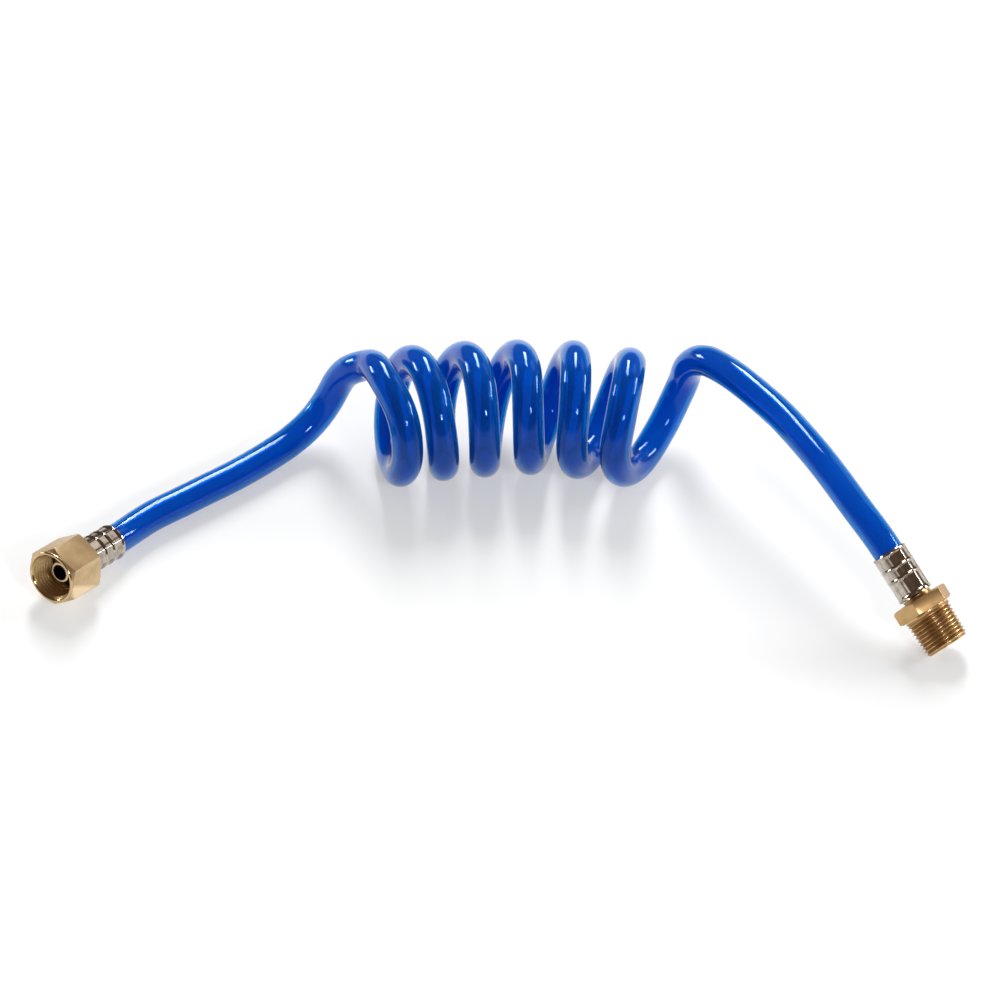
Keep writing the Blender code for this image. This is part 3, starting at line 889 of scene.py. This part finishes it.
def makeNut():
    p = nutPlan
    spare = p["spare"]
    blank = hexBlank("swivelNutDetail", p["acrossFlats"], -spare, p["length"] + spare, p["roll"])
    bm = bmesh.new()
    corner = hexCorner(p["acrossFlats"])
    outer = corner + p["beyond"]
    slope = (outer - p["lipRadius"]) / (corner - p["lipRadius"])
    lipLow = p["length"] - p["lip"]
    profile = [
        (p["rearFace"], 0.0), (outer, p["rearChamfer"]),
        (outer, lipLow - p["frontChamfer"] * slope), (p["lipRadius"], lipLow),
    ]
    for k in range(5):  # a quarter circle in four steps
        turn = math.radians(22.5 * k)
        inward = p["lipRound"] * (1 - math.cos(turn))
        down = p["lipRound"] * (1 - math.sin(turn))
        profile.append((p["lipRadius"] - inward, p["length"] - down))
    turnedShell(bm, profile, p["sides"], closed=False)
    combine(blank, linked("nutChamfers", meshFrom(bm, "nutChamfers")), "INTERSECT")
    roundEdges(blank, p["edge"], p["edgeDegrees"])
    combine(blank, threadedPlug(p), "DIFFERENCE")
    back = endPlan["ferruleLength"] + endPlan["nutGap"]
    matrix = leftEnd @ Matrix.Translation((0, 0, back * mm))
    mat = brassMaterial("turnedBrass.nut", nutBrass, p["shadeRadius"], p["length"] - p["lipRound"])
    placePiece(blank, matrix, "swivel_nut", mat, ["swivel_nut"])


makeNut()
print("nut made")


# Male fitting
malePlan = {
    "collar": 6.8, "acrossFlats": 23.8, "hexFace": 11.7, "hexChamfer": 0.8, "roll": 16.0,
    "tipRadius": 10.36, "taper": 1 / 32, "depth": 1.15, "runFrom": 0.2, "runOut": 2.6,
    "tipSink": 0.06, "bore": 6.3, "boreDepth": 14.0, "boreChamfer": 0.5, "shadeRadius": 6.4,
    "overlap": 1.0, "hexInset": 1.2, "spare": 1.0, "beyond": 0.2, "edge": 0.16, "edgeDegrees": 18,
    "sides": 144,
}


def threadedBody(p, core, collarLow, hexLow, hexHigh, tip):
    # Everything of the male fitting but its hexagon
    sides = p["sides"]
    tipRing = p["tipRadius"] - p["depth"] - p["tipSink"]
    base = p["tipRadius"] + endPlan["threadLength"] * p["taper"]
    inLow = hexLow + p["overlap"]
    inHigh = hexHigh - p["overlap"]

    def radiusAt(height, z):
        crest = p["tipRadius"] + (tip - z) * p["taper"]
        deep = min(1.0, max(0.0, (z - hexHigh - p["runFrom"]) / p["runOut"]))
        return min(crest - p["depth"] * (1 - height) * deep, tipRing + (tip - z))

    bm = bmesh.new()
    lower = barbProfile() + [
        (barbPlan["groove"], collarLow), (p["collar"], collarLow), (p["collar"], inLow),
        (core, inLow), (core, inHigh), (base, inHigh),
    ]
    rings = [addRing(bm, r * mm, z * mm, sides) for r, z in lower]
    first = addRing(bm, base * mm, hexHigh * mm, sides)
    last = addRing(bm, tipRing * mm, tip * mm, sides)
    boreEnd = tip - p["boreDepth"]
    upper = [
        (p["bore"] + p["boreChamfer"], tip), (p["bore"], tip - p["boreChamfer"]), (p["bore"], boreEnd),
        (barbPlan["bore"], boreEnd - (p["bore"] - barbPlan["bore"])),
    ]
    after = [addRing(bm, r * mm, z * mm, sides) for r, z in upper]
    joinChain(bm, rings + [first])
    threadBand(bm, first, last, hexHigh, tip, radiusAt)
    joinChain(bm, [last] + after + [rings[0]])
    return linked("maleFittingDetail", closedMesh(bm, "maleFittingDetail"))


def chamferedHexagon(p, core, hexLow, hexHigh):
    spare = p["spare"]
    hexagon = hexBlank("maleHex", p["acrossFlats"], hexLow - spare, hexHigh + spare, p["roll"])
    inner = core - p["hexInset"]
    outer = hexCorner(p["acrossFlats"]) + p["beyond"]
    bm = bmesh.new()
    turnedShell(bm, [
        (inner, hexLow), (p["hexFace"], hexLow), (outer, hexLow + p["hexChamfer"]),
        (outer, hexHigh - p["hexChamfer"]), (p["hexFace"], hexHigh), (inner, hexHigh),
    ], p["sides"])
    combine(hexagon, linked("maleHexChamfers", meshFrom(bm, "maleHexChamfers")), "INTERSECT")
    roundEdges(hexagon, p["edge"], p["edgeDegrees"])
    return hexagon


def makeMale():
    p = malePlan
    q = endPlan
    collarLow = q["ferruleLength"] + q["collarGap"]
    hexLow = collarLow + q["collarLength"]
    hexHigh = hexLow + q["maleHexThickness"]
    tip = hexHigh + q["threadLength"]
    core = p["hexFace"] - p["hexChamfer"]
    body = threadedBody(p, core, collarLow, hexLow, hexHigh, tip)
    combine(body, chamferedHexagon(p, core, hexLow, hexHigh), "UNION")
    mat = brassMaterial("turnedBrass.male", maleBrass, p["shadeRadius"])
    placePiece(body, rightEnd, "hose", mat, ["male_fitting"])


makeMale()
print("male fitting made")


# Floor, backdrop and light. Lengths in metres, and lit is how brightly the lamps light the open floor.
stagePlan = {
    "floorSize": 12.0, "floorPlace": (0, 0.5, -0.0002), "floorTone": 0.55, "floorRough": 0.9,
    "floorWhite": 1.03, "lit": 1.1, "horizonEnds": 0.0, "horizonLight": 0.3,
    "ceilingFrom": 0.08, "ceilingSeen": (0.14, 0.095, 0.07), "ceilingLight": 0.25,
}


def seenRays(tree, at):
    # 1 for what the eye, a reflection or glass sees, and 0 for light that falls on a surface
    link = tree.links.new
    x, y = at
    ray = addNode(tree, "ShaderNodeLightPath", (x, y))
    either = addNode(tree, "ShaderNodeMath", (x + 200, y), operation="MAXIMUM")
    link(ray.outputs["Is Camera Ray"], either.inputs[0])
    link(ray.outputs["Is Glossy Ray"], either.inputs[1])
    anyOne = addNode(tree, "ShaderNodeMath", (x + 400, y), operation="MAXIMUM")
    link(either.outputs[0], anyOne.inputs[0])
    link(ray.outputs["Is Transmission Ray"], anyOne.inputs[1])
    return anyOne.outputs[0]


def makeStage():
    # The glow tops the floor up to white where nothing shades it
    p = stagePlan
    bm = bmesh.new()
    bmesh.ops.create_grid(bm, x_segments=1, y_segments=1, size=p["floorSize"] / 2)
    floor = linked("paleFloor", meshFrom(bm, "paleFloor"))
    floor.location = p["floorPlace"]
    mat, tree, shader = newMaterial("paleFloor")
    tone = p["floorTone"]
    shader.inputs["Base Color"].default_value = (tone, tone, tone, 1)
    shader.inputs["Roughness"].default_value = p["floorRough"]
    shader.inputs["Specular IOR Level"].default_value = 0.0
    shader.inputs["Emission Color"].default_value = (1, 1, 1, 1)
    glow = addNode(tree, "ShaderNodeMath", (-200, -300), operation="MULTIPLY")
    glow.inputs[1].default_value = p["floorWhite"] - tone * p["lit"]
    tree.links.new(seenRays(tree, (-900, -300)), glow.inputs[0])
    tree.links.new(glow.outputs[0], shader.inputs["Emission Strength"])
    floor.data.materials.append(mat)


def makeWorld():
    # White round the horizon and a dim warm ceiling overhead
    p = stagePlan
    world = bpy.data.worlds.new("paleRoom")
    bpy.context.scene.world = world
    world.use_nodes = True
    tree = world.node_tree
    tree.nodes.clear()
    link = tree.links.new
    coord = addNode(tree, "ShaderNodeTexCoord", (-900, 0))
    parts = addNode(tree, "ShaderNodeSeparateXYZ", (-700, 0))
    link(coord.outputs["Generated"], parts.inputs[0])
    rise = addNode(tree, "ShaderNodeMapRange", (-500, 0), interpolation_type="SMOOTHSTEP")
    rise.inputs["From Min"].default_value = p["horizonEnds"]
    rise.inputs["From Max"].default_value = p["ceilingFrom"]
    link(parts.outputs["Z"], rise.inputs["Value"])
    share = rise.outputs["Result"]
    pale = (p["horizonLight"],) * 3
    seenTone = mixColour(tree, (-250, 150), (1, 1, 1), p["ceilingSeen"], share)
    lightTone = mixColour(tree, (-250, -150), pale, (p["ceilingLight"],) * 3, share)
    light = addNode(tree, "ShaderNodeBackground", (50, -150))
    seen = addNode(tree, "ShaderNodeBackground", (50, 150))
    link(lightTone, light.inputs["Color"])
    link(seenTone, seen.inputs["Color"])
    mix = addNode(tree, "ShaderNodeMixShader", (300, 0))
    out = addNode(tree, "ShaderNodeOutputWorld", (500, 0))
    link(seenRays(tree, (-500, 400)), mix.inputs["Fac"])
    link(light.outputs[0], mix.inputs[1])
    link(seen.outputs[0], mix.inputs[2])
    link(mix.outputs[0], out.inputs["Surface"])


# Softboxes: name, direction, half its width and height in degrees, brightness. Lengths in metres.
lampPlan = {
    "distance": 3.6, "aim": (0.0, 0.06, 0.03),
    "boxes": [
        ("overheadStrip", (0.0, 0.69, 0.724), 5.5, 17.0, 24.0),
        ("cameraBox", (0.37, -0.74, 0.56), 4.5, 4.0, 40.0),
        ("rightBox", (0.89, 0.23, 0.36), 11.0, 4.0, 20.0),
        ("leftBox", (-0.84, 0.49, 0.23), 5.5, 4.5, 20.0),
        ("upperPanel", (0.57, 0.6, 0.57), 10.0, 9.0, 0.9),
    ],
}


def makeLamps():
    p = lampPlan
    aim = Vector(p["aim"])
    for name, toward, halfWide, halfHigh, bright in p["boxes"]:
        data = bpy.data.lights.new(name, "AREA")
        data.shape = "RECTANGLE"
        data.size = 2 * p["distance"] * math.tan(math.radians(halfWide))
        data.size_y = 2 * p["distance"] * math.tan(math.radians(halfHigh))
        data.energy = bright * math.pi * data.size * data.size_y
        lamp = linked(name, data)
        away = Vector(toward).normalized()
        lamp.location = aim + away * p["distance"]
        lamp.rotation_euler = away.to_track_quat("Z", "Y").to_euler()
        lamp.visible_camera = False


makeStage()
makeWorld()
makeLamps()
bpy.context.scene.view_settings.view_transform = "Standard"
print("stage and light ready")
